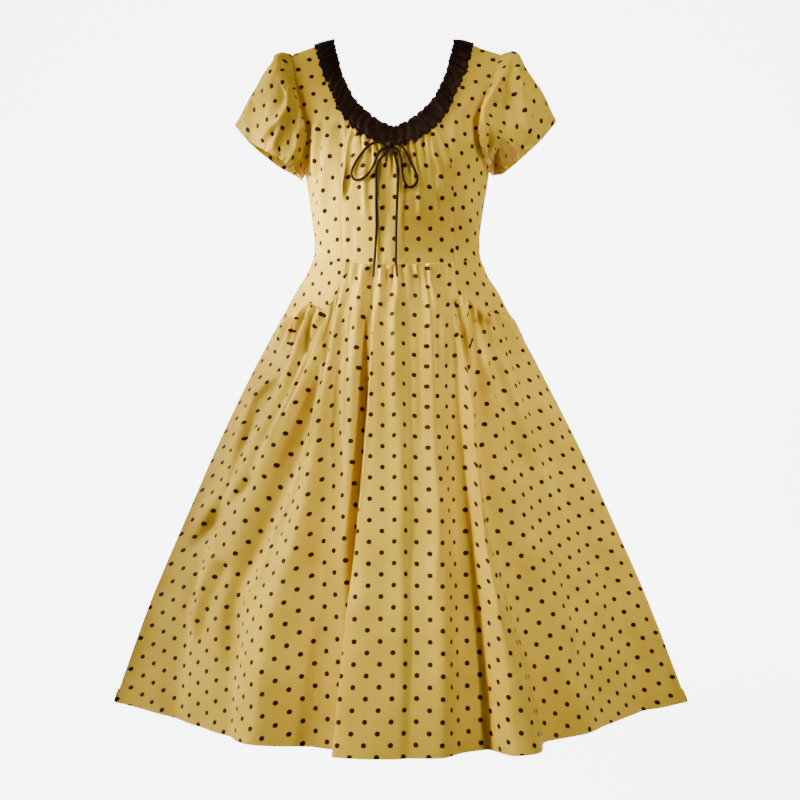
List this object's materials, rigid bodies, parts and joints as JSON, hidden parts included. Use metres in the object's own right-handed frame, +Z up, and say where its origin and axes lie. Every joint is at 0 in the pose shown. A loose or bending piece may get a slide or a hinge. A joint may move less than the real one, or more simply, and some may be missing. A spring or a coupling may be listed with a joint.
{
  "type": "a-line dress",
  "caption": "Short-sleeved dress with a gathered round neck, ruched trim with a drawstring bow, hip yokes and a full gathered skirt, open at neck, sleeves and hem.",
  "frame": {"origin": "midway between the two points where the shoulder seams meet the neck, at the height of the shoulder seams, where the wearer's shoulders carry the dress", "axes": "+Z up along the body; the front of the dress faces -Y; +X is on the right as seen from the front (the wearer's left)"},
  "size_m": [0.8898, 0.6358, 1.0473],
  "materials": {
    "bodice_front": "smooth woven cotton, golden yellow, all-over small dark dots, slight sheen",
    "bodice_side_front_left": "smooth woven cotton, golden yellow, all-over small dark dots, slight sheen",
    "bodice_side_front_right": "smooth woven cotton, golden yellow, all-over small dark dots, slight sheen",
    "bodice_back_left": "smooth woven cotton, golden yellow, all-over small dark dots, slight sheen",
    "bodice_back_right": "smooth woven cotton, golden yellow, all-over small dark dots, slight sheen",
    "hip_yoke_left": "smooth woven cotton, golden yellow, all-over small dark dots, slight sheen",
    "hip_yoke_right": "smooth woven cotton, golden yellow, all-over small dark dots, slight sheen",
    "skirt_front": "smooth woven cotton, golden yellow, all-over small dark dots, slight sheen",
    "skirt_back_left": "smooth woven cotton, golden yellow, all-over small dark dots, slight sheen",
    "skirt_back_right": "smooth woven cotton, golden yellow, all-over small dark dots, slight sheen",
    "sleeve_left": "smooth woven cotton, golden yellow, all-over small dark dots, slight sheen",
    "sleeve_right": "smooth woven cotton, golden yellow, all-over small dark dots, slight sheen",
    "neck_trim_front": "dark brown ruched ribbon, soft",
    "neck_trim_back": "dark brown ruched ribbon, soft",
    "bow_knot": "dark brown round drawstring, soft",
    "bow_loop_left": "dark brown round drawstring, soft",
    "bow_loop_right": "dark brown round drawstring, soft",
    "bow_tail_left": "dark brown round drawstring, soft",
    "bow_tail_right": "dark brown round drawstring, soft",
    "zip_tape": "woven tape to match the cloth",
    "zip_slider": "painted to match the cloth",
    "zip_pull": "painted to match the cloth"
  },
  "bodies": {
    "dress": {"bodice_front": "bodice_front", "bodice_side_front_left": "bodice_side_front_left", "bodice_side_front_right": "bodice_side_front_right", "bodice_back_left": "bodice_back_left", "bodice_back_right": "bodice_back_right", "hip_yoke_left": "hip_yoke_left", "hip_yoke_right": "hip_yoke_right", "skirt_front": "skirt_front", "skirt_back_left": "skirt_back_left", "skirt_back_right": "skirt_back_right", "sleeve_left": "sleeve_left", "sleeve_right": "sleeve_right", "neck_trim_front": "neck_trim_front", "neck_trim_back": "neck_trim_back", "bow_knot": "bow_knot", "bow_loop_left": "bow_loop_left", "bow_loop_right": "bow_loop_right", "bow_tail_left": "bow_tail_left", "bow_tail_right": "bow_tail_right", "zip_tape": "zip_tape", "zip_slider": "zip_slider"},
    "zip_tab": {"zip_pull": "zip_pull"}
  },
  "joints": [
    {"name": "zip_tab_hinge", "type": "hinge", "parent": "dress", "child": "zip_tab", "pos_m": [0, 0.10328, -0.16565], "axis": [1, 0, 0], "range_deg": [0, 150]}
  ]
}
